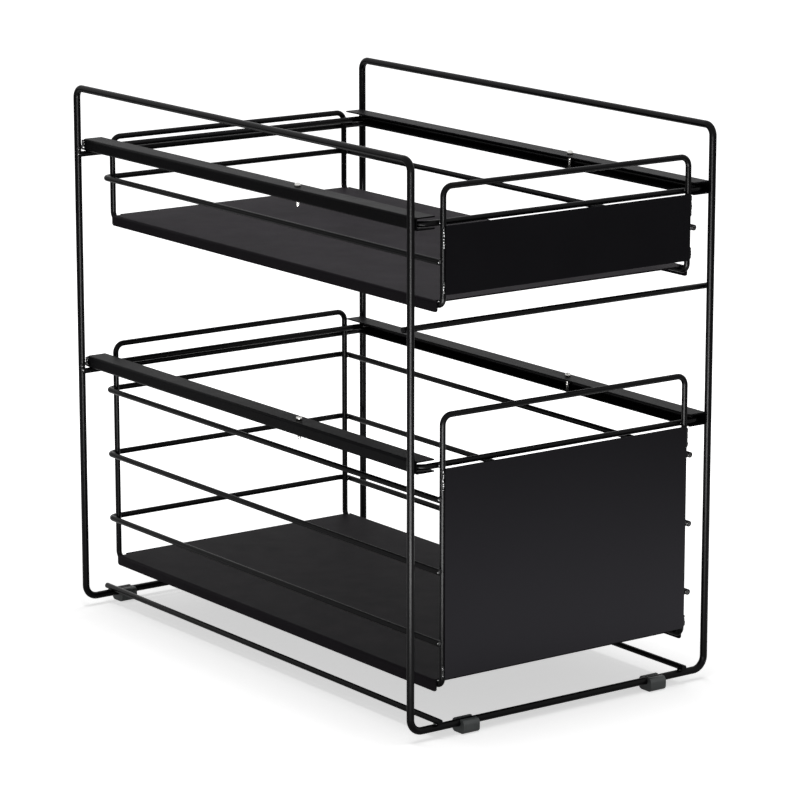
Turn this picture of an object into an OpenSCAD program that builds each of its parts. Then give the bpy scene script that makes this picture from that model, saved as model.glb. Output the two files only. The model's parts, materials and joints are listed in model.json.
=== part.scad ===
// Two-tier pull-out basket for the inside of a kitchen cabinet.
// A heavy bent wire stands as the frame and carries two pairs of folded sheet rails.
// Each basket hangs in its pair of rails by a closed rim wire and pulls out towards -Y.
// X is the width, Y the depth with the front at -Y, and Z is up from the floor.

/* [Frame] */
// Width between the centrelines of the left and right posts
frame_w = 248; // [220:1:320]
// Depth between the centrelines of the front and back posts
frame_d = 400; // [340:1:500]
// Diameter of the frame wire
frame_wire_d = 5; // [4.5:0.1:6]
// Bend radius at the top of each post, on the centreline
top_bend_r = 7; // [5:0.5:20]
// Bend radius at the foot of each post, on the centreline
foot_bend_r = 9; // [6:0.5:20]
// Height of the arches' top wires over the upper rails
arch_rise = 36.3; // [30:0.5:60]

/* [Cross wires] */
// Diameter of the cross wires, the runners and all basket wires
wire_d = 4; // [3.5:0.1:4.5]
// Distance of each base runner from the posts' centrelines
runner_inset = 20.8; // [16:0.1:40]
// How far each base runner passes the posts' centrelines, front and back
runner_over = 4.5; // [3:0.1:8]
// How far the front middle bar passes the posts' centrelines
mid_bar_over = 3; // [1:0.5:6]
// Gap between the front middle bar and the tray edge that passes over it
mid_bar_gap = 7.2; // [4:0.1:15]

/* [Rails] */
// Height of a rail's web
rail_h = 8.6; // [8.5:0.1:11]
// Width of a rail's flanges
rail_w = 15; // [14:0.1:18]
// Outer fold radius of a rail
rail_fold_r = 1.6; // [1.1:0.1:2]
// How far the rails reach in front of the front posts' centrelines
rail_front_over = 2; // [0:0.5:6]
// How far the rails stop short of the back posts' centrelines
rail_back_short = 3.5; // [3:0.1:5]

/* [Stop screws] */
// Distance of the stop screws behind the front posts' centrelines
stop_back = 139; // [60:1:200]
// Shank diameter of a stop screw
screw_d = 2.5; // [2:0.1:3.5]
// Head diameter of a stop screw
screw_head_d = 4.5; // [4:0.1:6]
// Head height of a stop screw
screw_head_h = 3; // [1.5:0.1:4]
// Height of the dome on a stop screw's head
screw_dome_h = 1; // [0.6:0.1:1.2]
// Length of the shank below the rail
screw_tail = 4.5; // [1:0.1:6]
// Width of the cross slots in a stop screw's head
screw_slot_w = 0.9; // [0.6:0.1:1.2]
// Depth of the cross slots in a stop screw's head
screw_slot_depth = 0.8; // [0.4:0.1:1]

/* [Sheet] */
// Thickness of the rails', trays' and panels' sheet
sheet_t = 1; // [0.8:0.1:1.2]

/* [Feet] */
// Thickness of a foot under the frame wire
foot_sole = 4.4; // [3:0.1:6]
// Length of a foot along the frame wire
foot_len = 13; // [10:0.1:22]
// Wall of the clip on either side of the frame wire
foot_wall = 4.2; // [3.8:0.1:6]
// Height of the clip's arms over the frame wire's centreline
foot_arm_rise = 2.6; // [2:0.1:3]
// Width of the mouth that snaps over the frame wire
foot_mouth = 4.2; // [3.6:0.1:4.4]
// Radius that rounds the clip's sole into its sides
foot_sole_r = 3; // [1:0.1:3.5]
// Radius that rounds the clip's sides into its arms
foot_arm_r = 3.4; // [1:0.1:3.6]
// Distance of the front feet from the posts' centrelines
front_foot_inset = 45; // [32:0.5:80]
// Distance of the back feet from the posts' centrelines
back_foot_inset = 33; // [32:0.5:80]

/* [Baskets] */
// Gap between a basket's upright wires and the edge of the rails
basket_side_gap = 3.7; // [2:0.1:8]
// How far the front uprights stand in front of the posts' centrelines
front_reach = 2.9; // [0:0.1:10]
// Bend radius of a hoop's top corners
hoop_bend_r = 6.5; // [5:0.5:20]
// Bend radius where an upright turns under the tray
base_bend_r = 5; // [4.5:0.5:10]
// Corner radius of the rim wire
rim_bend_r = 8; // [6:0.5:12]
// Rear corner radius of the side wires
side_bend_r = 6; // [6:0.5:12]
// Pitch of the side wires
side_pitch = 47.7; // [30:0.1:60]
// Depth of a tray's side flanges, over the sheet
tray_flange = 7.5; // [6:0.1:12]
// Outer fold radius of a tray
tray_fold_r = 1.6; // [1.1:0.1:2]
// Radius of the lower corners at the ends of a tray's flanges
tray_corner_r = 2; // [0.5:0.1:4]
// Distance of a tray's front and back edge from the upright wires' centrelines
tray_end_gap = 2.9; // [2.6:0.1:6]
// Distance of the top edge of a front panel below the rail's top
panel_drop = 6.7; // [5:0.1:20]
// Corner radius of the front panels
panel_corner_r = 1.5; // [0.5:0.1:6]

/* [Lower basket] */
// Gap between the lower tray's flanges and the base runners
lower_ground_gap = 17.5; // [6:0.1:60]
// Depth of the lower basket, from its tray to the top of its rails
lower_depth = 148.8; // [130:0.1:240]
// Height of the lower basket's front hoop over its rails
lower_front_rise = 27.7; // [18:0.1:60]
// Height of the lower basket's back hoop over its rails
lower_back_rise = 6.8; // [4:0.1:15]
// Distance of the lower basket's first side wire below its rails
lower_side_drop = 27; // [22:0.1:34]
// Height of the lower front panel's bottom edge over its tray
lower_panel_lift = 2; // [0.5:0.1:10]

/* [Upper basket] */
// Gap between the lower basket's front hoop and the upper tray's flanges
tier_gap = 64.6; // [30:0.1:160]
// Depth of the upper basket, from its tray to the top of its rails
upper_depth = 55.5; // [50:0.1:120]
// Height of the upper basket's front hoop over its rails
upper_front_rise = 18.1; // [18:0.1:28]
// Height of the upper basket's back hoop over its rails
upper_back_rise = 0; // [-2:0.1:15]
// Distance of the upper basket's side wire below its rails
upper_side_drop = 29.6; // [22:0.1:34]
// Height of the upper front panel's bottom edge over its tray
upper_panel_lift = 4.3; // [0.5:0.1:10]

/* [Clearances] */
// Gap left for the weld between two pieces that touch
weld_gap = 0.02; // [0.01:0.01:0.04]
// Running gap between a basket and what carries or stops it
slide_gap = 0.3; // [0.2:0.05:0.5]
// Side play of the rim wire between a rail's web and the stop screws
rim_play = 0.5; // [0.4:0.05:0.8]

/* [Hidden] */
$fn = 48;

// Colours
black_coat = [0.09, 0.09, 0.10];
panel_coat = [0.13, 0.13, 0.14];
nickel = [0.75, 0.74, 0.70];
foot_grey = [0.33, 0.35, 0.35];

// Radii
frame_r = frame_wire_d / 2;
wire_r = wire_d / 2;
screw_r = screw_d / 2;

// Places across the width
post_x = frame_w / 2;
runner_x = post_x - runner_inset;
web_x = post_x - frame_r - weld_gap;
rail_edge_x = web_x - rail_w;
rim_x = web_x - sheet_t - rim_play - wire_r;
screw_x = rim_x - wire_r - rim_play - screw_r;
upright_x = rail_edge_x - basket_side_gap - wire_r;
side_wire_x = upright_x + wire_d + weld_gap;
tray_x = upright_x + wire_r + weld_gap + sheet_t;
panel_x = upright_x;

// Places along the depth: the origin lies midway between what reaches farthest forward, the front
// panels or the front feet, and what reaches farthest back, the runners or the back feet
foot_half_w = frame_r + foot_wall;
panel_reach = front_reach + wire_r + weld_gap + sheet_t;
forward_reach = max(panel_reach, runner_over, foot_half_w);
back_reach = max(runner_over, foot_half_w);
origin_shift = (forward_reach - back_reach) / 2;
front_y = origin_shift - frame_d / 2;
back_y = origin_shift + frame_d / 2;
mid_bar_y = front_y + frame_r + weld_gap + wire_r;
rear_bar_y = back_y - frame_r - weld_gap - wire_r;
rail_front_y = front_y - rail_front_over;
rail_back_y = back_y - rail_back_short;
screw_y = front_y + stop_back;
basket_front_y = front_y - front_reach;
basket_back_y = rear_bar_y - wire_d - slide_gap;
rim_front_y = basket_front_y + wire_d + weld_gap;
rim_back_y = basket_back_y - wire_d - weld_gap;
side_wire_front_y = basket_front_y - wire_r;
side_wire_back_y = basket_back_y + side_bend_r;
tray_front_y = basket_front_y + tray_end_gap;
tray_back_y = basket_back_y - tray_end_gap;
panel_back_y = basket_front_y - wire_r - weld_gap;

// Heights over the floor, from the feet up
bar_z = foot_sole + frame_r;
runner_z = bar_z + frame_r + weld_gap + wire_r;
lower_tray_z = runner_z + wire_r + lower_ground_gap + tray_flange;
lower_rail_z = lower_tray_z + lower_depth;
lower_front_z = lower_rail_z + lower_front_rise;
lower_back_z = lower_rail_z + lower_back_rise;
upper_tray_z = lower_front_z + wire_r + tier_gap + tray_flange;
upper_rail_z = upper_tray_z + upper_depth;
upper_front_z = upper_rail_z + upper_front_rise;
upper_back_z = upper_rail_z + upper_back_rise;
top_z = upper_rail_z + arch_rise;
mid_bar_z = upper_tray_z - tray_flange - mid_bar_gap - wire_r;

// Heights that both baskets share, measured down from the top of their rails
rim_drop = rail_h - sheet_t - slide_gap - wire_r;
rear_bar_drop = rail_h + weld_gap + wire_r;

// ---------------------------------------------------------------- bent wires

function unit(v) = v / norm(v);
function cosine(u, v) = max(-1, min(1, u * v));

// Turning angle at a corner between the incoming and the outgoing direction
function turn(u, v) = acos(cosine(u, v));

// Length that a bend of radius r takes from each side of a corner
function setback(r, angle) = r * tan(angle / 2);

// Rotation angles that bring the x, y and z axes to the unit vectors u, v and w
function angles(u, v, w) =
    abs(u[2]) > 0.999999
        ? [0, -90 * sign(u[2]), atan2(-v[0], v[1])]
        : [atan2(v[2], w[2]), -asin(u[2]), atan2(u[1], u[0])];

// Places its children with their x, y and z axes along the unit vectors u, v and w
module along(origin, u, v, w) {
    translate(origin)
        rotate(angles(u, v, w))
            children();
}

// Straight wire from one point to another
module straight(from, to, r) {
    d = unit(to - from);
    side = abs(d[2]) < 0.9 ? unit(cross([0, 0, 1], d)) : [1, 0, 0];
    u = unit(side - d * (side * d));
    along(from, u, cross(d, u), d)
        cylinder(h = norm(to - from), r = r);
}

// Elbow at a corner, from the incoming direction u to the outgoing direction v
module elbow(corner, u, v, bend_r, r) {
    angle = turn(u, v);
    inward = unit(v - u * (u * v));
    start = corner - u * setback(bend_r, angle);
    centre = start + inward * bend_r;
    along(centre, -inward, u, cross(-inward, u))
        rotate_extrude(angle = angle)
            translate([bend_r, 0])
                circle(r);
}

// Wire through the points, with a bend of the radius given for each point.
// A closed wire joins its last point to its first one.
module bent_wire(points, bends, r, closed = true) {
    n = len(points);
    runs = closed ? n : n - 1;
    dirs = [for (i = [0:runs - 1]) unit(points[(i + 1) % n] - points[i])];
    corner = [for (i = [0:n - 1]) closed || (i > 0 && i < n - 1)];
    trim = [for (i = [0:n - 1])
        corner[i] ? setback(bends[i], turn(dirs[(i + runs - 1) % runs], dirs[i])) : 0];
    union() {
        for (i = [0:runs - 1])
            straight(
                points[i] + dirs[i] * trim[i],
                points[(i + 1) % n] - dirs[i] * trim[(i + 1) % n],
                r
            );
        for (i = [0:n - 1])
            if (corner[i])
                elbow(points[i], dirs[(i + runs - 1) % runs], dirs[i], bends[i], r);
    }
}

// Straight wire across the width
module cross_wire(half_length, y, z) {
    translate([-half_length, y, z])
        rotate([0, 90, 0])
            cylinder(h = 2 * half_length, r = wire_r);
}

// Straight wire along the depth
module depth_wire(x, y_from, y_to, z) {
    translate([x, y_from, z])
        rotate([-90, 0, 0])
            cylinder(h = y_to - y_from, r = wire_r);
}

// ---------------------------------------------------------------- folded sheet

// Quarter ring of a fold, with its corner towards +x and +y
module fold(r) {
    intersection() {
        difference() {
            circle(r);
            circle(r - sheet_t);
        }
        square(r);
    }
}

// Channel open towards -x: web at the right, height up from 0
module channel_profile(height, width, r) {
    translate([-sheet_t, r])
        square([sheet_t, height - 2 * r]);
    for (y = [0, height - sheet_t])
        translate([-width, y])
            square([width - r, sheet_t]);
    translate([-r, height - r])
        fold(r);
    translate([-r, r])
        mirror([0, 1])
            fold(r);
}

// Sheet with both sides folded down: top face at 0
module tray_profile(half_width, depth, r) {
    translate([-half_width + r, -sheet_t])
        square([2 * (half_width - r), sheet_t]);
    for (side = [0, 1])
        mirror([side, 0]) {
            translate([half_width - r, -r])
                fold(r);
            translate([half_width - sheet_t, -depth])
                square([sheet_t, depth - r]);
        }
}

// Rectangle of the half width given, with its lower and its upper corners rounded
module rounded_outline(half_width, low, high, low_r, high_r) {
    translate([-half_width, low + low_r])
        square([2 * half_width, high - high_r - low - low_r]);
    translate([-half_width + low_r, low])
        square([2 * (half_width - low_r), high - high_r - low]);
    translate([-half_width + high_r, low + low_r])
        square([2 * (half_width - high_r), high - low - low_r]);
    for (side = [-1, 1]) {
        translate([side * (half_width - low_r), low + low_r])
            circle(low_r);
        translate([side * (half_width - high_r), high - high_r])
            circle(high_r);
    }
}

// Extrudes a profile drawn in x and z along the depth
module extrude_depth(y_from, y_to) {
    translate([0, y_to, 0])
        rotate([90, 0, 0])
            linear_extrude(y_to - y_from)
                children();
}

// Extrudes a profile drawn in y and z across the width
module extrude_width(x_from, x_to) {
    translate([x_from, 0, 0])
        rotate([90, 0, 90])
            linear_extrude(x_to - x_from)
                children();
}

// ---------------------------------------------------------------- frame

// One closed wire: left arch, front bottom bar, right arch, back bottom bar
module frame_wire() {
    color(black_coat)
        bent_wire(
            [
                [-post_x, back_y, bar_z], [-post_x, back_y, top_z],
                [-post_x, front_y, top_z], [-post_x, front_y, bar_z],
                [post_x, front_y, bar_z], [post_x, front_y, top_z],
                [post_x, back_y, top_z], [post_x, back_y, bar_z]
            ],
            [
                foot_bend_r, top_bend_r, top_bend_r, foot_bend_r,
                foot_bend_r, top_bend_r, top_bend_r, foot_bend_r
            ],
            frame_r
        );
}

// Runner along the depth, welded on top of both bottom bars
module base_runner(side) {
    color(black_coat)
        depth_wire(side * runner_x, front_y - runner_over, back_y + runner_over, runner_z);
}

// Bar behind the front posts, between the two baskets
module front_mid_bar() {
    color(black_coat)
        cross_wire(post_x + mid_bar_over, mid_bar_y, mid_bar_z);
}

// Bar in front of the back posts, under the back ends of one pair of rails
module rear_bar(rail_z) {
    color(black_coat)
        cross_wire(post_x, rear_bar_y, rail_z - rear_bar_drop);
}

// Folded rail on the inside of the posts, with a hole in each flange for the stop screw
module rail(side, rail_z) {
    color(black_coat)
        mirror([side < 0 ? 1 : 0, 0, 0])
            difference() {
                translate([web_x, 0, rail_z - rail_h])
                    extrude_depth(rail_front_y, rail_back_y)
                        channel_profile(rail_h, rail_w, rail_fold_r);
                translate([screw_x, screw_y, rail_z - rail_h - sheet_t])
                    cylinder(h = rail_h + 2 * sheet_t, r = screw_r + weld_gap);
            }
}

// Cheese-head screw through both flanges of a rail
module stop_screw(rail_z) {
    head_r = screw_head_d / 2;
    rim_h = screw_head_h - screw_dome_h;
    dome_r = (head_r * head_r + screw_dome_h * screw_dome_h) / (2 * screw_dome_h);
    translate([screw_x, screw_y, rail_z + weld_gap])
        difference() {
            union() {
                cylinder(h = rim_h, r = head_r);
                translate([0, 0, rim_h])
                    intersection() {
                        cylinder(h = screw_dome_h, r = head_r);
                        translate([0, 0, screw_dome_h - dome_r])
                            sphere(dome_r);
                    }
                translate([0, 0, -rail_h - screw_tail])
                    cylinder(h = rail_h + screw_tail, r = screw_r);
            }
            for (angle = [0, 90])
                rotate([0, 0, angle])
                    translate([-head_r / 2, -screw_slot_w / 2, screw_head_h - screw_slot_depth])
                        cube([head_r, screw_slot_w, screw_head_h]);
        }
}

// The four screws that stop the baskets' rims
module stop_screws() {
    color(nickel)
        for (rail_z = [lower_rail_z, upper_rail_z], side = [0, 1])
            mirror([side, 0, 0])
                stop_screw(rail_z);
}

// Plastic clip snapped on a bottom bar from below, open at the top.
// Its sides bulge past the wire and round over into the two arms and into the flat sole.
module foot(x, y) {
    color(foot_grey)
        translate([0, y, bar_z])
            extrude_width(x - foot_len / 2, x + foot_len / 2)
                difference() {
                    rounded_outline(
                        foot_half_w, -foot_sole - frame_r, foot_arm_rise, foot_sole_r, foot_arm_r
                    );
                    circle(frame_r + weld_gap);
                    translate([-foot_mouth / 2, 0])
                        square([foot_mouth, 2 * foot_arm_rise]);
                }
}

// ---------------------------------------------------------------- baskets

// Closed wire of a basket: front hoop, runs under the tray, back hoop
module basket_frame(front_z, back_z, tray_z) {
    run_z = tray_z - sheet_t - weld_gap - wire_r;
    color(black_coat)
        bent_wire(
            [
                [-upright_x, basket_front_y, front_z], [upright_x, basket_front_y, front_z],
                [upright_x, basket_front_y, run_z], [upright_x, basket_back_y, run_z],
                [upright_x, basket_back_y, back_z], [-upright_x, basket_back_y, back_z],
                [-upright_x, basket_back_y, run_z], [-upright_x, basket_front_y, run_z]
            ],
            [
                hoop_bend_r, hoop_bend_r, base_bend_r, base_bend_r,
                hoop_bend_r, hoop_bend_r, base_bend_r, base_bend_r
            ],
            wire_r
        );
}

// Closed wire whose sides run in the rails
module rim_wire(rail_z) {
    z = rail_z - rim_drop;
    color(black_coat)
        bent_wire(
            [
                [-rim_x, rim_front_y, z], [rim_x, rim_front_y, z],
                [rim_x, rim_back_y, z], [-rim_x, rim_back_y, z]
            ],
            [for (corner = [1:4]) rim_bend_r],
            wire_r
        );
}

// U-shaped wire round the back of a basket, open at the front
module side_wire(z) {
    color(black_coat)
        bent_wire(
            [
                [-side_wire_x, side_wire_front_y, z], [-side_wire_x, side_wire_back_y, z],
                [side_wire_x, side_wire_back_y, z], [side_wire_x, side_wire_front_y, z]
            ],
            [0, side_bend_r, side_bend_r, 0],
            wire_r,
            closed = false
        );
}

// Sheet tray on the wire runs, its sides folded down outside them.
// The top sheet is notched at each corner where the wire bends up, and the flanges' lower corners
// are rounded: the side view of the tray, round above the sheet too, trims the folded profile.
module tray(tray_z) {
    notch_y = base_bend_r + wire_r / 2 - tray_end_gap;
    notch_x = wire_d + 2 * sheet_t;
    color(panel_coat)
        difference() {
            intersection() {
                translate([0, 0, tray_z])
                    extrude_depth(tray_front_y, tray_back_y)
                        tray_profile(tray_x, tray_flange, tray_fold_r);
                translate([0, (tray_front_y + tray_back_y) / 2, tray_z])
                    extrude_width(-tray_x - sheet_t, tray_x + sheet_t)
                        rounded_outline(
                            (tray_back_y - tray_front_y) / 2, -tray_flange, tray_corner_r,
                            tray_corner_r, tray_corner_r
                        );
            }
            for (side = [-1, 1], y = [tray_front_y, tray_back_y - notch_y])
                translate([side * (tray_x - sheet_t - notch_x / 2) - notch_x / 2, y, tray_z - wire_d])
                    cube([notch_x, notch_y, 2 * wire_d]);
        }
}

// Flat plate with rounded corners, welded on the front of the front uprights
module front_panel(bottom_z, top_z) {
    color(panel_coat)
        extrude_depth(panel_back_y - sheet_t, panel_back_y)
            rounded_outline(panel_x, bottom_z, top_z, panel_corner_r, panel_corner_r);
}

// ---------------------------------------------------------------- nodes

frame_wire();
base_runner(-1);  // base_runner_left
base_runner(1);  // base_runner_right
front_mid_bar();
rear_bar(lower_rail_z);  // rear_bar_lower
rear_bar(upper_rail_z);  // rear_bar_upper
rail(-1, lower_rail_z);  // rail_lower_left
rail(1, lower_rail_z);  // rail_lower_right
rail(-1, upper_rail_z);  // rail_upper_left
rail(1, upper_rail_z);  // rail_upper_right
stop_screws();
foot(-post_x + front_foot_inset, front_y);  // foot_front_left
foot(post_x - front_foot_inset, front_y);  // foot_front_right
foot(-post_x + back_foot_inset, back_y);  // foot_back_left
foot(post_x - back_foot_inset, back_y);  // foot_back_right
basket_frame(lower_front_z, lower_back_z, lower_tray_z);  // lower_basket_frame
rim_wire(lower_rail_z);  // lower_rim_wire
side_wire(lower_rail_z - lower_side_drop);  // lower_side_wire_top
side_wire(lower_rail_z - lower_side_drop - side_pitch);  // lower_side_wire_middle
side_wire(lower_rail_z - lower_side_drop - 2 * side_pitch);  // lower_side_wire_low
tray(lower_tray_z);  // lower_tray
front_panel(lower_tray_z + lower_panel_lift, lower_rail_z - panel_drop);  // lower_front_panel
basket_frame(upper_front_z, upper_back_z, upper_tray_z);  // upper_basket_frame
rim_wire(upper_rail_z);  // upper_rim_wire
side_wire(upper_rail_z - upper_side_drop);  // upper_side_wire
tray(upper_tray_z);  // upper_tray
front_panel(upper_tray_z + upper_panel_lift, upper_rail_z - panel_drop);  // upper_front_panel
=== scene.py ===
"""Looks of a two-tier pull-out basket for the inside of a kitchen cabinet.

The frame and the baskets are bent steel wire and folded sheet under a black powder coat, the stop
screws are nickel-plated steel, and the feet are grey moulded plastic.  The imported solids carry
their own shape.  Worked out here are the coated weld lumps that hold the wires together and the
threaded stop screws, and every surface gets its finish.

Lengths are in metres, +X to the right seen from the front, -Y the front, +Z up from the floor.
"""

import json
import math

import bpy
import numpy as np
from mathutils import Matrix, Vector

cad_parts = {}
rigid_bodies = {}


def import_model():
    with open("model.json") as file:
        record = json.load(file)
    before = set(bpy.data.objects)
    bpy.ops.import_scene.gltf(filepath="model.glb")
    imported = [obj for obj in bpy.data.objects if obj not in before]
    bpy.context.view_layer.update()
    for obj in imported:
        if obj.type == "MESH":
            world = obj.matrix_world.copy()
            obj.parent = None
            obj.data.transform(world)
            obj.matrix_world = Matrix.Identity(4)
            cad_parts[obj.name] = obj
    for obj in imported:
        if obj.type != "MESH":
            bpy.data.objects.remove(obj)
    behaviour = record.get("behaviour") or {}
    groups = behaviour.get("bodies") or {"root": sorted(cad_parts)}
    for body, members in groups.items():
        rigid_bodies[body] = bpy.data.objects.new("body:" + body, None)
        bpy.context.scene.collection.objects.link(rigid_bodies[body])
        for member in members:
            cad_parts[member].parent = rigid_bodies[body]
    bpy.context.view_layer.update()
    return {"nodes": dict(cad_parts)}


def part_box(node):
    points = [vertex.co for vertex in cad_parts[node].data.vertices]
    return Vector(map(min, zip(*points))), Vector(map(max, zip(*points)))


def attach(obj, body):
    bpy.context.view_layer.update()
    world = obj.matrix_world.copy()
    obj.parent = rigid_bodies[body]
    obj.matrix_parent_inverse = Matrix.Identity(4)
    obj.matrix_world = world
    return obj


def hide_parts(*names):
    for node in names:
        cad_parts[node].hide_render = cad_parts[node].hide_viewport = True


MM = 0.001

for leftover in list(bpy.data.objects):
    bpy.data.objects.remove(leftover)

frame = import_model()
nodes = frame["nodes"]

# ------------------------------------------------------------------ finishes

COAT_BLACK = (0.0034, 0.0032, 0.0039, 1.0)      # powder coat on wire, rails and panels
COAT_DEEP = (0.0023, 0.0022, 0.0026, 1.0)       # its darker cloud
TRAY_BLACK = (0.0104, 0.0085, 0.0110, 1.0)      # coat of the two trays
TRAY_DEEP = (0.0074, 0.0060, 0.0079, 1.0)       # its darker cloud
WELD_BLACK = (0.0055, 0.0055, 0.0060, 1.0)      # coat that has run smooth over a weld
NICKEL = (0.80, 0.79, 0.77, 1.0)                # plating of the screws
NICKEL_DULL = (0.64, 0.63, 0.60, 1.0)
FOOT_GREY = (0.075, 0.082, 0.082, 1.0)          # plastic of the feet
FOOT_GREY_DARK = (0.058, 0.064, 0.064, 1.0)
CLOUD_FROM, CLOUD_TO = 0.35, 0.65               # noise values at the dark and the light colour
GLOSS_SCALE = 3.1                               # how much finer than the cloud the gloss changes


def noise_node(tree, coordinates, scale, detail, roughness):
    """Noise texture on Object coordinates: scale in cycles per metre."""
    noise = tree.nodes.new("ShaderNodeTexNoise")
    noise.inputs["Scale"].default_value = scale
    noise.inputs["Detail"].default_value = detail
    noise.inputs["Roughness"].default_value = roughness
    tree.links.new(coordinates, noise.inputs["Vector"])
    return noise


def ramp_node(tree, factor, low, high, dark, light):
    """Colour ramp from dark at low to light at high."""
    ramp = tree.nodes.new("ShaderNodeValToRGB")
    ramp.color_ramp.elements[0].position = low
    ramp.color_ramp.elements[0].color = dark
    ramp.color_ramp.elements[1].position = high
    ramp.color_ramp.elements[1].color = light
    tree.links.new(factor, ramp.inputs["Fac"])
    return ramp


def range_node(tree, value, low, high):
    """Value from 0 to 1 carried to low to high."""
    spread = tree.nodes.new("ShaderNodeMapRange")
    spread.inputs["To Min"].default_value = low
    spread.inputs["To Max"].default_value = high
    tree.links.new(value, spread.inputs["Value"])
    return spread


def bump_node(tree, height, distance, before=None):
    """Bump whose full height is a distance in metres, laid over the bump before it."""
    bump = tree.nodes.new("ShaderNodeBump")
    bump.inputs["Distance"].default_value = distance
    tree.links.new(height, bump.inputs["Height"])
    if before is not None:
        tree.links.new(before.outputs["Normal"], bump.inputs["Normal"])
    return bump


def finish(name, dark, light, cloud, roughness, grain, peel, specular, metallic=0.0,
           tint=(1.0, 1.0, 1.0)):
    """Material with a soft colour cloud, uneven gloss, a fine grain and a wavy flow of its surface.

    cloud is the colour cloud's scale, roughness its (low, high) range, and grain and peel are
    (scale, height) pairs of the two bumps, with scales in cycles per metre.  tint colours what
    the gloss mirrors.
    """
    material = bpy.data.materials.new(name)
    material.use_nodes = True
    tree = material.node_tree
    tree.nodes.clear()
    output = tree.nodes.new("ShaderNodeOutputMaterial")
    shader = tree.nodes.new("ShaderNodeBsdfPrincipled")
    tree.links.new(shader.outputs["BSDF"], output.inputs["Surface"])
    place = tree.nodes.new("ShaderNodeTexCoord").outputs["Object"]
    colour_noise = noise_node(tree, place, cloud, detail=4.0, roughness=0.55)
    ramp = ramp_node(tree, colour_noise.outputs["Fac"], CLOUD_FROM, CLOUD_TO, dark, light)
    tree.links.new(ramp.outputs["Color"], shader.inputs["Base Color"])
    gloss_noise = noise_node(tree, place, cloud * GLOSS_SCALE, detail=3.0, roughness=0.6)
    gloss = range_node(tree, gloss_noise.outputs["Fac"], *roughness)
    tree.links.new(gloss.outputs["Result"], shader.inputs["Roughness"])
    peel_noise = noise_node(tree, place, peel[0], detail=1.0, roughness=0.4)
    wave = bump_node(tree, peel_noise.outputs["Fac"], peel[1])
    grain_noise = noise_node(tree, place, grain[0], detail=2.0, roughness=0.6)
    fine = bump_node(tree, grain_noise.outputs["Fac"], grain[1], wave)
    tree.links.new(fine.outputs["Normal"], shader.inputs["Normal"])
    shader.inputs["Specular IOR Level"].default_value = specular
    shader.inputs["Metallic"].default_value = metallic
    shader.inputs["Specular Tint"].default_value = (*tint, 1.0)
    return material


wire_coat = finish("black_coat_on_wire", COAT_DEEP, COAT_BLACK, cloud=60.0,
                   roughness=(0.28, 0.36), grain=(2200.0, 0.004 * MM), peel=(420.0, 0.009 * MM),
                   specular=0.09)
sheet_coat = finish("black_coat_on_sheet", COAT_DEEP, COAT_BLACK, cloud=24.0,
                    roughness=(0.40, 0.50), grain=(2600.0, 0.012 * MM), peel=(420.0, 0.016 * MM),
                    specular=0.04)
panel_coat = finish("black_coat_on_panels", COAT_DEEP, COAT_BLACK, cloud=9.0,
                    roughness=(0.22, 0.28), grain=(2600.0, 0.004 * MM), peel=(420.0, 0.008 * MM),
                    specular=0.21, tint=(0.90, 0.86, 1.0))
tray_coat = finish("black_coat_on_trays", TRAY_DEEP, TRAY_BLACK, cloud=18.0,
                   roughness=(0.56, 0.66), grain=(2600.0, 0.016 * MM), peel=(420.0, 0.014 * MM),
                   specular=0.05)
weld_coat = finish("smooth_coat_on_welds", COAT_DEEP, WELD_BLACK, cloud=300.0,
                   roughness=(0.08, 0.18), grain=(2200.0, 0.008 * MM), peel=(700.0, 0.040 * MM),
                   specular=0.60)
screw_nickel = finish("bright_nickel", NICKEL_DULL, NICKEL, cloud=260.0,
                      roughness=(0.22, 0.30), grain=(3000.0, 0.004 * MM),
                      peel=(900.0, 0.006 * MM), specular=0.50, metallic=1.0)
foot_plastic = finish("grey_moulded_plastic", FOOT_GREY_DARK, FOOT_GREY, cloud=120.0,
                      roughness=(0.42, 0.55), grain=(1800.0, 0.020 * MM),
                      peel=(500.0, 0.015 * MM), specular=0.50)


def coat_node(name, material):
    """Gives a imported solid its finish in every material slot."""
    for slot in nodes[name].material_slots:
        slot.material = material


for name in nodes:
    if name.startswith("foot_"):
        coat_node(name, foot_plastic)
    elif name.endswith("_tray"):
        coat_node(name, tray_coat)
    elif name.endswith("_panel"):
        coat_node(name, panel_coat)
    elif name.startswith("rail_"):
        coat_node(name, sheet_coat)
    elif name == "stop_screws":
        coat_node(name, screw_nickel)
    else:
        coat_node(name, wire_coat)

# ------------------------------------------------------------------ softened edges

EDGE_OF_SHEET = 0.22 * MM
EDGE_OF_WIRE = 0.35 * MM
EDGE_OF_PLASTIC = 0.30 * MM
EDGE_SEGMENTS = 3
MERGE_WITHIN = 1e-6
SHARP = math.radians(35)


def soften(name, width):
    """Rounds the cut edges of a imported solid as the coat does: merge the loose triangles, bevel."""
    piece = nodes[name]
    merge = piece.modifiers.new("merge", "WELD")
    merge.merge_threshold = MERGE_WITHIN
    bevel = piece.modifiers.new("round_edges", "BEVEL")
    bevel.width = width
    bevel.segments = EDGE_SEGMENTS
    bevel.limit_method = "ANGLE"
    bevel.angle_limit = SHARP
    bevel.use_clamp_overlap = True
    bevel.harden_normals = True


# ------------------------------------------------------------------ meshes from grids

def mesh_piece(name, vertices, faces, material, body, slot):
    """Smooth object at the origin with its place in its mesh, riding on a body of the frame."""
    mesh = bpy.data.meshes.new(name)
    mesh.from_pydata(vertices.tolist(), [], faces.tolist())
    mesh.materials.append(material)
    mesh.polygons.foreach_set("use_smooth", np.full(len(mesh.polygons), True))
    mesh.update()
    piece = bpy.data.objects.new(name, mesh)
    bpy.context.scene.collection.objects.link(piece)
    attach(piece, body)
    return piece


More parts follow.
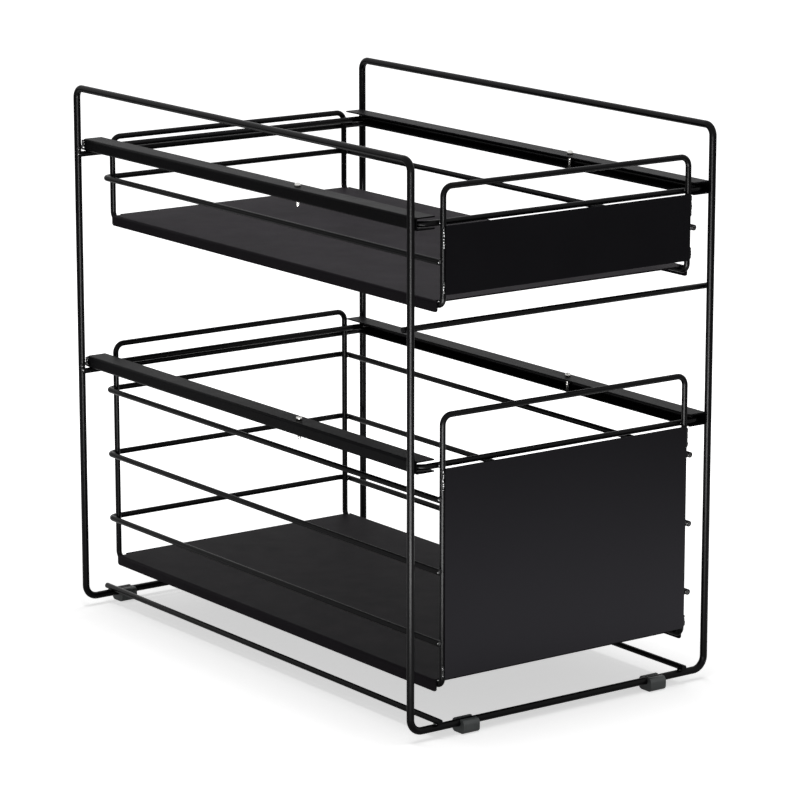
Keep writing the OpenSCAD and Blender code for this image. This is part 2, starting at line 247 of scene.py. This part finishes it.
def grid_faces(rows, columns):
    """Triangles of a grid of rows by columns points whose columns close on themselves."""
    i, j = np.meshgrid(np.arange(rows - 1), np.arange(columns), indexing="ij")
    a = i * columns + j
    b = i * columns + (j + 1) % columns
    c = b + columns
    d = a + columns
    return np.concatenate([np.stack([a, b, c], -1).reshape(-1, 3),
                           np.stack([a, c, d], -1).reshape(-1, 3)])


def closed_rings(rings):
    """Closed surface through rings of points, first to last, shut by one point at either end.

    rings is an array of ring, point and coordinate.  Each ring turns anticlockwise seen from the
    last ring, so that the faces point outwards.  Each end point is the middle of its ring.
    """
    rows, columns = rings.shape[:2]
    points = np.concatenate([rings.reshape(-1, 3), rings[0].mean(0)[None], rings[-1].mean(0)[None]])
    first, last = rows * columns, rows * columns + 1
    j = np.arange(columns)
    k = (j + 1) % columns
    base = (rows - 1) * columns
    bottom = np.stack([np.full(columns, first), k, j], -1)
    top = np.stack([np.full(columns, last), base + j, base + k], -1)
    return points, np.concatenate([grid_faces(rows, columns), bottom, top])


def joined(surfaces):
    """One list of points and faces from several surfaces."""
    points, faces, count = [], [], 0
    for surface_points, surface_faces in surfaces:
        points.append(surface_points)
        faces.append(surface_faces + count)
        count += len(surface_points)
    return np.concatenate(points), np.concatenate(faces)


# ------------------------------------------------------------------ weld lumps

WELD_ROWS, WELD_COLUMNS = 14, 20
POLE_GAP = 0.04                                 # angle that the rings stop short of the poles
SWELLS = (0.09, 0.06, 0.05)                     # sizes of a lump's three waves
ROW_SHIFT = 0.25                                # how far a lump in a row is off, in its radii
ROW_SIZES = (0.8, 1.15)                         # smallest and largest lump of a row
SEAM_PITCH = 2.1 * MM                           # length of one lump of a seam
SEAM_ROWS, SEAM_COLUMNS = 8, 16                 # rings for each lump, and points of a ring
SEAM_LOW, SEAM_RISE = 0.78, 0.22                # size between two lumps, and what a lump adds
SLOW_SWELL = 0.10                               # size of the slow wave along a seam
SLOW_HALVES, SLOW_LUMPS = 2.3, 3                # half turns of that wave over so many lumps
SEAM_BLUNT = 0.985                              # keeps the seam's ends from closing to a point
WANDER = (0.16 * MM, 0.10 * MM)                 # along X and square to it
WANDER_LUMPS = (3.7, 2.6)                       # lumps to one turn of each
rng = np.random.default_rng(7)


def weld_lump(centre, radii):
    """Lump of weld under its coat: an ellipsoid about centre with the three radii.

    Its radius swells and dips by up to a fifth: one plus the sum of three sine waves in the two
    angles, each with a phase drawn for this lump, faded out at the poles.
    """
    polar = np.linspace(POLE_GAP, math.pi - POLE_GAP, WELD_ROWS)[::-1][:, None]
    around = np.linspace(0, 2 * math.pi, WELD_COLUMNS, endpoint=False)[None]
    phases = rng.uniform(0, 2 * math.pi, 3)
    swell = 1 + np.sin(polar) * (SWELLS[0] * np.sin(2 * around + phases[0])
                                 + SWELLS[1] * np.sin(3 * around + 2 * polar + phases[1])
                                 + SWELLS[2] * np.sin(around - 3 * polar + phases[2]))
    unit = np.stack([np.sin(polar) * np.cos(around), np.sin(polar) * np.sin(around),
                     np.cos(polar) * np.ones_like(around)], -1)
    return closed_rings(np.array(centre) + unit * swell[..., None] * np.array(radii))


def weld_row(start, end, count, radii):
    """Row of lumps from start to end, each a little off its place and a little off its size."""
    lumps = []
    for share in (np.arange(count) + 0.5) / count:
        place = np.array(start) + share * (np.array(end) - np.array(start))
        place = place + rng.uniform(-ROW_SHIFT, ROW_SHIFT, 3) * np.array(radii)
        lumps.append(weld_lump(place, np.array(radii) * rng.uniform(*ROW_SIZES)))
    return lumps


def weld_seam(start, end, radii):
    """Upright bead from start to end, as overlapping lumps under one coat.

    Its rings are ellipses square to the bead, with the first radius along X and the second square
    to it.  Both are multiplied by a swell and a taper.  The swell is its low value plus its rise
    times the square root of the sine's size over the lumps, times one plus a slow sine wave.  The
    taper is the root of one minus the eighth power of the blunted way from the middle.  The
    middle line wanders by two slow sine waves.
    """
    start, end, side = np.array(start), np.array(end), np.array((1.0, 0.0, 0.0))
    length = np.linalg.norm(end - start)
    forward = (end - start) / length
    other = np.cross(forward, side)
    lumps = max(2, round(length / SEAM_PITCH))
    way = np.linspace(0, 1, lumps * SEAM_ROWS + 1)[:, None]
    phases = rng.uniform(0, 2 * math.pi, 4)     # four are drawn for each seam, three are used
    swell = SEAM_LOW + SEAM_RISE * np.sqrt(np.abs(np.sin(math.pi * lumps * way)))
    slow_turn = SLOW_HALVES * math.pi * way * lumps / SLOW_LUMPS + phases[0]
    swell = swell * (1 + SLOW_SWELL * np.sin(slow_turn))
    taper = np.sqrt(1 - (SEAM_BLUNT * (2 * way - 1)) ** 8)
    turn = np.linspace(0, 2 * math.pi, SEAM_COLUMNS, endpoint=False)[None]
    along = 2 * math.pi * way * lumps
    wander = (WANDER[0] * np.sin(along / WANDER_LUMPS[0] + phases[1]) * side
              + WANDER[1] * np.sin(along / WANDER_LUMPS[1] + phases[2]) * other)
    size = (swell * taper)[..., None]
    rings = (start + way * (end - start) + wander)[:, None, :] + size * (
        radii[0] * np.cos(turn)[..., None] * side + radii[1] * np.sin(turn)[..., None] * other)
    return closed_rings(rings)


# Places of the wires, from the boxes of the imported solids
frame_lo, frame_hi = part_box("frame_wire")
runner_lo, runner_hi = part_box("base_runner_right")
mid_lo, mid_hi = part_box("front_mid_bar")
FRAME_R = 2.5 * MM                              # radius of the frame wire
WIRE_R = (runner_hi.x - runner_lo.x) / 2        # radius of every other wire
POST_X = frame_hi.x - FRAME_R
FRONT_Y = frame_lo.y + FRAME_R
BACK_Y = frame_hi.y - FRAME_R
BAR_Z = frame_lo.z + FRAME_R
SIDES = (-1, 1)

# Radii of the lumps along X, Y and Z
RUNNER_ON_BAR = (1.9 * MM, 1.9 * MM, 0.9 * MM)
MID_BAR_ON_POST = (1.7 * MM, 0.9 * MM, 1.9 * MM)
REAR_BAR_ON_POST = (1.9 * MM, 1.0 * MM, 2.0 * MM)
DROP_ON_POST = (1.5 * MM, 1.1 * MM, 1.6 * MM)
DROP_ON_RAIL = (1.5 * MM, 1.9 * MM, 1.8 * MM)
RAIL_ON_REAR_BAR = (1.8 * MM, 1.3 * MM, 0.5 * MM)
RIM_ON_UPRIGHT = (1.9 * MM, 0.9 * MM, 1.9 * MM)
SIDE_ON_UPRIGHT = (0.9 * MM, 1.9 * MM, 1.9 * MM)
SIDE_WIRE_END = (1.8 * MM, 1.3 * MM, 1.8 * MM)
TRAY_ON_WIRE = (1.0 * MM, 3.5 * MM, 0.5 * MM)
# Radii of the seams along X and square to it
RAIL_FRONT_SEAM = (0.8 * MM, 1.1 * MM)
RAIL_BACK_SEAM = (1.0 * MM, 1.4 * MM)
PANEL_SEAM = (0.95 * MM, 0.9 * MM)

POST_DROP_OUT, POST_DROP_UP = 0.8 * MM, 3.4 * MM        # past the post's middle, over the bar's
RAIL_FLAT = 1.6 * MM                                    # from a rail's edge to its web's flat
RAIL_SEAM_PAST = 1.0 * MM                               # how far a seam runs past that flat
FRONT_SEAM_IN, BACK_SEAM_IN = 1.7 * MM, 3.3 * MM        # from the posts' middle to the seams
RAIL_DROP_OUT, RAIL_DROP_IN, RAIL_DROP_UP = 0.6 * MM, 4.2 * MM, 1.4 * MM
BAR_ROW_FROM, BAR_ROW_TO = 3 * MM, 12 * MM              # row under a rail, from its web
BAR_ROW_LUMPS = 2
SIDE_END_OUT, SIDE_END_IN = 1.9, 0.9 * MM               # in wire radii, and from the cut end
PANEL_SEAM_OUT, PANEL_SEAM_BACK = 0.75 * MM, 0.15 * MM  # from the upright's and panel's place
PANEL_SEAM_INSET = 0.8 * MM                             # from the panel's corner
PANEL_TOP_SEAM, PANEL_LOW_SEAM = 15 * MM, 9 * MM        # where the two seams end
TRAY_WELD_IN = 1.2 * MM                                 # in from the upright, below the tray
TRAY_WELD_SHARES = (0.08, 0.36, 0.64, 0.92)             # along the tray


def middle(low, high):
    """Place halfway between two places along one axis."""
    return (low + high) / 2


def frame_weld_lumps():
    """Lumps where runners cross the bottom bars and where bars and rails meet posts and bars."""
    lumps = []
    runner_x = middle(runner_lo.x, runner_hi.x)
    mid_z = middle(mid_lo.z, mid_hi.z)
    before_back = BACK_Y - FRAME_R
    web_x = POST_X - FRAME_R
    for side in SIDES:
        for y in (FRONT_Y, BACK_Y):
            lumps.append(weld_lump((side * runner_x, y, BAR_Z + FRAME_R), RUNNER_ON_BAR))
        lumps.append(weld_lump((side * POST_X, FRONT_Y + FRAME_R, mid_z), MID_BAR_ON_POST))
        for tier in ("lower", "upper"):
            bar_lo, bar_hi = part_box(f"rear_bar_{tier}")
            bar_y, bar_z = middle(bar_lo.y, bar_hi.y), middle(bar_lo.z, bar_hi.z)
            lumps.append(weld_lump((side * POST_X, before_back, bar_z), REAR_BAR_ON_POST))
            drop = (side * (POST_X + POST_DROP_OUT), before_back, bar_z + POST_DROP_UP)
            lumps.append(weld_lump(drop, DROP_ON_POST))
            rail_lo, rail_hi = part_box(f"rail_{tier}_{'left' if side < 0 else 'right'}")
            low_z, high_z = rail_lo.z + RAIL_FLAT, rail_hi.z - RAIL_FLAT
            for y, radii in ((FRONT_Y + FRONT_SEAM_IN, RAIL_FRONT_SEAM),
                             (BACK_Y - BACK_SEAM_IN, RAIL_BACK_SEAM)):
                lumps.append(weld_seam((side * web_x, y, low_z - RAIL_SEAM_PAST),
                                       (side * web_x, y, high_z + RAIL_SEAM_PAST), radii))
            drop = (side * (web_x + RAIL_DROP_OUT), BACK_Y - RAIL_DROP_IN, low_z + RAIL_DROP_UP)
            lumps.append(weld_lump(drop, DROP_ON_RAIL))
            lumps += weld_row((side * (web_x - BAR_ROW_FROM), bar_y, rail_lo.z),
                              (side * (web_x - BAR_ROW_TO), bar_y, rail_lo.z), BAR_ROW_LUMPS,
                              RAIL_ON_REAR_BAR)
    return lumps


def basket_weld_lumps(tier):
    """Lumps where a basket's rim, side wires, panel and tray meet its two closed uprights."""
    lumps = []
    basket_lo, basket_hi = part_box(f"{tier}_basket_frame")
    upright_x = basket_hi.x - WIRE_R
    front_y, back_y = basket_lo.y + WIRE_R, basket_hi.y - WIRE_R
    rim_lo, rim_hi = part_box(f"{tier}_rim_wire")
    rim_z = middle(rim_lo.z, rim_hi.z)
    panel_lo, panel_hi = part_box(f"{tier}_front_panel")
    tray_lo, tray_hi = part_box(f"{tier}_tray")
    side_names = [name for name in sorted(nodes) if name.startswith(f"{tier}_side_wire")]
    for side in SIDES:
        for y in (front_y + WIRE_R, back_y - WIRE_R):
            lumps.append(weld_lump((side * upright_x, y, rim_z), RIM_ON_UPRIGHT))
        for name in side_names:
            wire_lo, wire_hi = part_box(name)
            wire_z = middle(wire_lo.z, wire_hi.z)
            for y in (front_y, back_y):
                lumps.append(weld_lump((side * (upright_x + WIRE_R), y, wire_z), SIDE_ON_UPRIGHT))
            end_x = upright_x + SIDE_END_OUT * WIRE_R
            lumps.append(weld_lump((side * end_x, basket_lo.y + SIDE_END_IN, wire_z),
                                   SIDE_WIRE_END))
        seam = (side * (upright_x + PANEL_SEAM_OUT), panel_hi.y + PANEL_SEAM_BACK)
        for low_z, high_z in ((panel_hi.z - PANEL_TOP_SEAM, panel_hi.z - PANEL_SEAM_INSET),
                              (panel_lo.z + PANEL_SEAM_INSET, panel_lo.z + PANEL_LOW_SEAM)):
            lumps.append(weld_seam((*seam, low_z), (*seam, high_z), PANEL_SEAM))
        for share in TRAY_WELD_SHARES:
            y = tray_lo.y + share * (tray_hi.y - tray_lo.y)
            lumps.append(weld_lump((side * (upright_x - TRAY_WELD_IN), y,
                                    tray_hi.z - TRAY_WELD_IN), TRAY_ON_WIRE))
    return lumps


mesh_piece("frame_welds", *joined(frame_weld_lumps()), weld_coat, "frame", "coated_wire")
mesh_piece("lower_basket_welds", *joined(basket_weld_lumps("lower")), weld_coat,
           "lower_basket", "coated_wire")
mesh_piece("upper_basket_welds", *joined(basket_weld_lumps("upper")), weld_coat,
           "upper_basket", "coated_wire")

# ------------------------------------------------------------------ stop screws

SCREW_SEGMENTS = 40
HEAD_RINGS = 26
THREAD_PITCH = 0.5 * MM
THREAD_STEPS = 8                                # rings to one turn of the thread
THREAD_DEPTH = 0.14 * MM
THREAD_LENGTH = 5.2 * MM
THREAD_END = 0.6 * MM                           # over which the thread fades into the shank
TIP_LENGTH = 1.0 * MM
TIP_SHARE = 0.55                                # radius of the blunt tip, of the shank's
SHANK_RADIUS = 1.25 * MM
DOME_HEIGHT = 1.0 * MM
SIDE_REACH = (0.58, 0.94, 1.0, 0.90, 0.86)      # rings of the head's side, in the head's radius
SIDE_LIFT = (0.0, 0.0, 0.05, 0.92, 1.0)         # their heights, of the side's height
DOME_FROM, DOME_TO = 0.83, 0.02                 # rings of its top, in the head's radius
ARM_HALF, ARM_WALL = 0.42 * MM, 0.05 * MM       # half width of the recess's arms, and their walls
RECESS_REACH, RECESS_FADE = 0.62, 0.07 * MM     # where the arms end, in the head's radius
RECESS_DEPTH = 0.80 * MM


def stop_screw(x, y, rail_top, tail_z, head_r, head_h):
    """Cheese-head screw, from the tip of its thread up over the head.

    The threaded length's radius is the shank radius less a thread's depth times a triangle wave
    of height over pitch minus turn, so the ridge winds up as a helix; the last millimetre tapers
    to a blunt tip, and over the thread the shank is plain.  The head's side narrows upwards.  The
    head's height over a point is a low parabolic dome less the cross recess, whose depth is a
    smooth step of the distance from the nearer arm and fades out towards the rim.
    """
    turn = np.linspace(0, 2 * math.pi, SCREW_SEGMENTS, endpoint=False)[None]
    length = rail_top - tail_z
    rows = int(length / THREAD_PITCH * THREAD_STEPS)
    height = np.linspace(0, length, rows)[:, None]
    wave = np.abs(((height / THREAD_PITCH - turn / (2 * math.pi)) % 1.0) * 2 - 1)
    taper = TIP_SHARE + (1 - TIP_SHARE) * np.sqrt(np.clip(height / TIP_LENGTH, 0, 1))
    threaded = np.clip((THREAD_LENGTH - height) / THREAD_END, 0, 1)
    radius = (SHANK_RADIUS - THREAD_DEPTH * wave * threaded) * taper
    shank = np.stack([radius * np.cos(turn), radius * np.sin(turn),
                      (tail_z + height) * np.ones_like(turn)], -1)
    rim_h = head_h - DOME_HEIGHT
    reach = np.array(SIDE_REACH)[:, None] * head_r
    lift = np.array(SIDE_LIFT)[:, None] * rim_h
    collar = np.stack([reach * np.cos(turn), reach * np.sin(turn),
                       (rail_top + lift) * np.ones_like(turn)], -1)
    inward = np.linspace(DOME_FROM, DOME_TO, HEAD_RINGS)[:, None] * head_r
    dome = rim_h + DOME_HEIGHT * (1 - (inward / head_r) ** 2)
    across = np.minimum(np.abs(inward * np.cos(turn)), np.abs(inward * np.sin(turn)))
    arm = 1 / (1 + np.exp((across - ARM_HALF) / ARM_WALL))
    fade = 1 / (1 + np.exp((inward - RECESS_REACH * head_r) / RECESS_FADE))
    top_z = rail_top + dome - RECESS_DEPTH * arm * fade
    top = np.stack([inward * np.cos(turn), inward * np.sin(turn), top_z], -1)
    points, faces = closed_rings(np.concatenate([shank, collar, top]))
    return points + np.array((x, y, 0.0)), faces


def stop_screw_piece():
    """All four screws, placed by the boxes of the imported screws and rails."""
    screws_lo, screws_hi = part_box("stop_screws")
    y = middle(screws_lo.y, screws_hi.y)
    head_r = (screws_hi.y - screws_lo.y) / 2
    x = screws_hi.x - head_r
    upper_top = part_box("rail_upper_left")[1].z
    lower_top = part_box("rail_lower_left")[1].z
    head_h = screws_hi.z - upper_top
    tail = lower_top - screws_lo.z
    screws = [stop_screw(side * x, y, top, top - tail, head_r, head_h)
              for top in (lower_top, upper_top) for side in SIDES]
    piece = mesh_piece("stop_screws_threaded", *joined(screws), screw_nickel, "frame", "screws")
    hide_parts("stop_screws")


stop_screw_piece()

for name in nodes:
    if name.startswith("rail_") or name.endswith(("_tray", "_panel")):
        soften(name, EDGE_OF_SHEET)
    elif "side_wire" in name or name in ("base_runner_left", "base_runner_right", "front_mid_bar",
                                         "rear_bar_lower", "rear_bar_upper"):
        soften(name, EDGE_OF_WIRE)
    elif name.startswith("foot_"):
        soften(name, EDGE_OF_PLASTIC)

# ------------------------------------------------------------------ floor, light and camera

FLOOR_REACH = 6.0
FLOOR_PALE = 0.45                     # what the floor gives back to the object
FLOOR_SEEN = 0.88                     # what it gives back to the camera
FLOOR_ROUGHNESS = 0.9
LIFT_NEAR, LIFT_FAR = 0.58, 1.0       # light added for the camera alone, to show the floor white
LIFT_FROM, LIFT_TO = 0.30, 0.60       # how far from the middle it grows from the one to the other
GLOW_NEAR, GLOW_FAR = 0.95, 0.0       # light added for gloss alone: a lit table, then a dim room
GLOW_FROM, GLOW_TO = 0.35, 1.20       # how far from the middle the table fades into the room
UNDER_SHARE = 0.25                    # share of that light left in the object's own shadow
UNDER_FROM, UNDER_TO = 0.22, 0.38     # how far from the middle that shadow fades out


def math_node(tree, operation, first, second):
    """Output of a sum, product or greater value of two outputs."""
    node = tree.nodes.new("ShaderNodeMath")
    node.operation = operation
    tree.links.new(first, node.inputs[0])
    tree.links.new(second, node.inputs[1])
    return node.outputs["Value"]


def camera_only(tree, others=()):
    """Output that is 1 for rays from the camera and for the other kinds of ray that are named."""
    rays = tree.nodes.new("ShaderNodeLightPath")
    seen = rays.outputs["Is Camera Ray"]
    for kind in others:
        seen = math_node(tree, "MAXIMUM", seen, rays.outputs[kind])
    return seen


def floor():
    """Wide pale floor; a camera ray sees it lighter than the lamps alone make it.

    The lift keeps the shadow under the object and grows outwards, where the lamps fall off.
    Gloss mirrors a lit table that fades into a dim room, so a low piece mirrors more light than a
    high one.  Each is a smooth step of the distance from the middle, seen by its own kind of ray.
    """
    r = FLOOR_REACH
    mesh = bpy.data.meshes.new("floor")
    mesh.from_pydata([(-r, -r, 0), (r, -r, 0), (r, r, 0), (-r, r, 0)], [], [(0, 1, 2, 3)])
    material = bpy.data.materials.new("floor_white")
    material.use_nodes = True
    tree = material.node_tree
    shader = tree.nodes["Principled BSDF"]
    camera_ray = camera_only(tree)
    grey = range_node(tree, camera_ray, FLOOR_PALE, FLOOR_SEEN)
    tree.links.new(grey.outputs["Result"], shader.inputs["Base Color"])
    shader.inputs["Roughness"].default_value = FLOOR_ROUGHNESS
    shader.inputs["Specular IOR Level"].default_value = 0.0
    shader.inputs["Emission Color"].default_value = (1, 1, 1, 1)
    place = tree.nodes.new("ShaderNodeTexCoord").outputs["Object"]
    distance = tree.nodes.new("ShaderNodeVectorMath")
    distance.operation = "LENGTH"
    tree.links.new(place, distance.inputs[0])
    glossy_ray = tree.nodes.new("ShaderNodeLightPath").outputs["Is Glossy Ray"]
    fades = []
    for near, far, start, end in ((LIFT_NEAR, LIFT_FAR, LIFT_FROM, LIFT_TO),
                                  (GLOW_NEAR, GLOW_FAR, GLOW_FROM, GLOW_TO),
                                  (UNDER_SHARE, 1.0, UNDER_FROM, UNDER_TO)):
        fade = range_node(tree, distance.outputs["Value"], near, far)
        fade.interpolation_type = "SMOOTHSTEP"
        fade.inputs["From Min"].default_value = start
        fade.inputs["From Max"].default_value = end
        fades.append(fade.outputs["Result"])
    lift = math_node(tree, "MULTIPLY", fades[0], camera_ray)
    table = math_node(tree, "MULTIPLY", fades[1], fades[2])
    glow = math_node(tree, "MULTIPLY", table, glossy_ray)
    both = math_node(tree, "ADD", lift, glow)
    tree.links.new(both, shader.inputs["Emission Strength"])
    mesh.materials.append(material)
    piece = bpy.data.objects.new("floor", mesh)
    bpy.context.scene.collection.objects.link(piece)


def surroundings(ambient):
    """World that is white where it is seen or mirrored, and dim even light for all other rays."""
    world = bpy.data.worlds.new("studio")
    world.use_nodes = True
    tree = world.node_tree
    background = tree.nodes["Background"]
    background.inputs["Color"].default_value = (1, 1, 1, 1)
    seen = camera_only(tree, ("Is Glossy Ray", "Is Transmission Ray"))
    strength = range_node(tree, seen, ambient, 1.0)
    tree.links.new(strength.outputs["Result"], background.inputs["Strength"])
    bpy.context.scene.world = world


def softbox(name, place, aim, size, watts, lights=True, mirrored=True, pieces=()):
    """Area lamp of a width and a height that looks from its place to its aim.

    It can leave dull surfaces unlit, as a white card that only shows as a streak in gloss, or
    stay out of the gloss, as a lamp behind a wide diffuser does.  Where pieces are named, it
    reaches these alone, as a lamp with flags around it.
    """
    lamp = bpy.data.lights.new(name, "AREA")
    lamp.shape = "RECTANGLE"
    lamp.size, lamp.size_y = size
    lamp.energy = watts
    piece = bpy.data.objects.new(name, lamp)
    piece.location = place
    piece.rotation_euler = (Vector(aim) - Vector(place)).to_track_quat("-Z", "Y").to_euler()
    piece.visible_diffuse = lights
    piece.visible_glossy = mirrored
    bpy.context.scene.collection.objects.link(piece)
    if pieces:
        reach = bpy.data.collections.new(f"{name}_reach")
        for lit in pieces:
            reach.objects.link(lit)
        piece.light_linking.receiver_collection = reach


def camera(place, aim, lens):
    """Upright camera without shift or depth of field."""
    lens_data = bpy.data.cameras.new("camera")
    lens_data.lens = lens
    lens_data.sensor_width = 36.0
    piece = bpy.data.objects.new("camera", lens_data)
    piece.location = place
    piece.rotation_euler = (Vector(aim) - Vector(place)).to_track_quat("-Z", "Y").to_euler()
    bpy.context.scene.collection.objects.link(piece)
    bpy.context.scene.camera = piece


# The low softbox reaches these alone, because a flat sheet would mirror it whole
round_pieces = [piece for piece in bpy.context.scene.objects if piece.type == "MESH"
                and not piece.name.startswith("rail_")
                and not piece.name.endswith(("_tray", "_panel"))]
floor()
surroundings(ambient=0.25)
softbox("overhead_softbox", place=(0.0, 0.0, 1.6), aim=(0, 0, 0.1), size=(0.8, 0.8), watts=17.0,
        mirrored=False)
softbox("front_softbox", place=(-1.25, -1.75, 0.30), aim=(-0.1, -0.15, 0.18), size=(0.35, 0.5),
        watts=3.5, mirrored=False)
softbox("low_softbox", place=(-0.567, -0.786, 0.06), aim=(-0.51, -0.705, 1.06),
        size=(0.42, 0.94), watts=42.0, lights=False, pieces=round_pieces)

CAMERA_PLACE = (-1.51016, -2.09318, 0.76054)
CAMERA_AIM = (0.00852, -0.00651, 0.1744)
CAMERA_LENS = 171.0
camera(CAMERA_PLACE, CAMERA_AIM, CAMERA_LENS)

bpy.context.scene.view_settings.view_transform = "Standard"
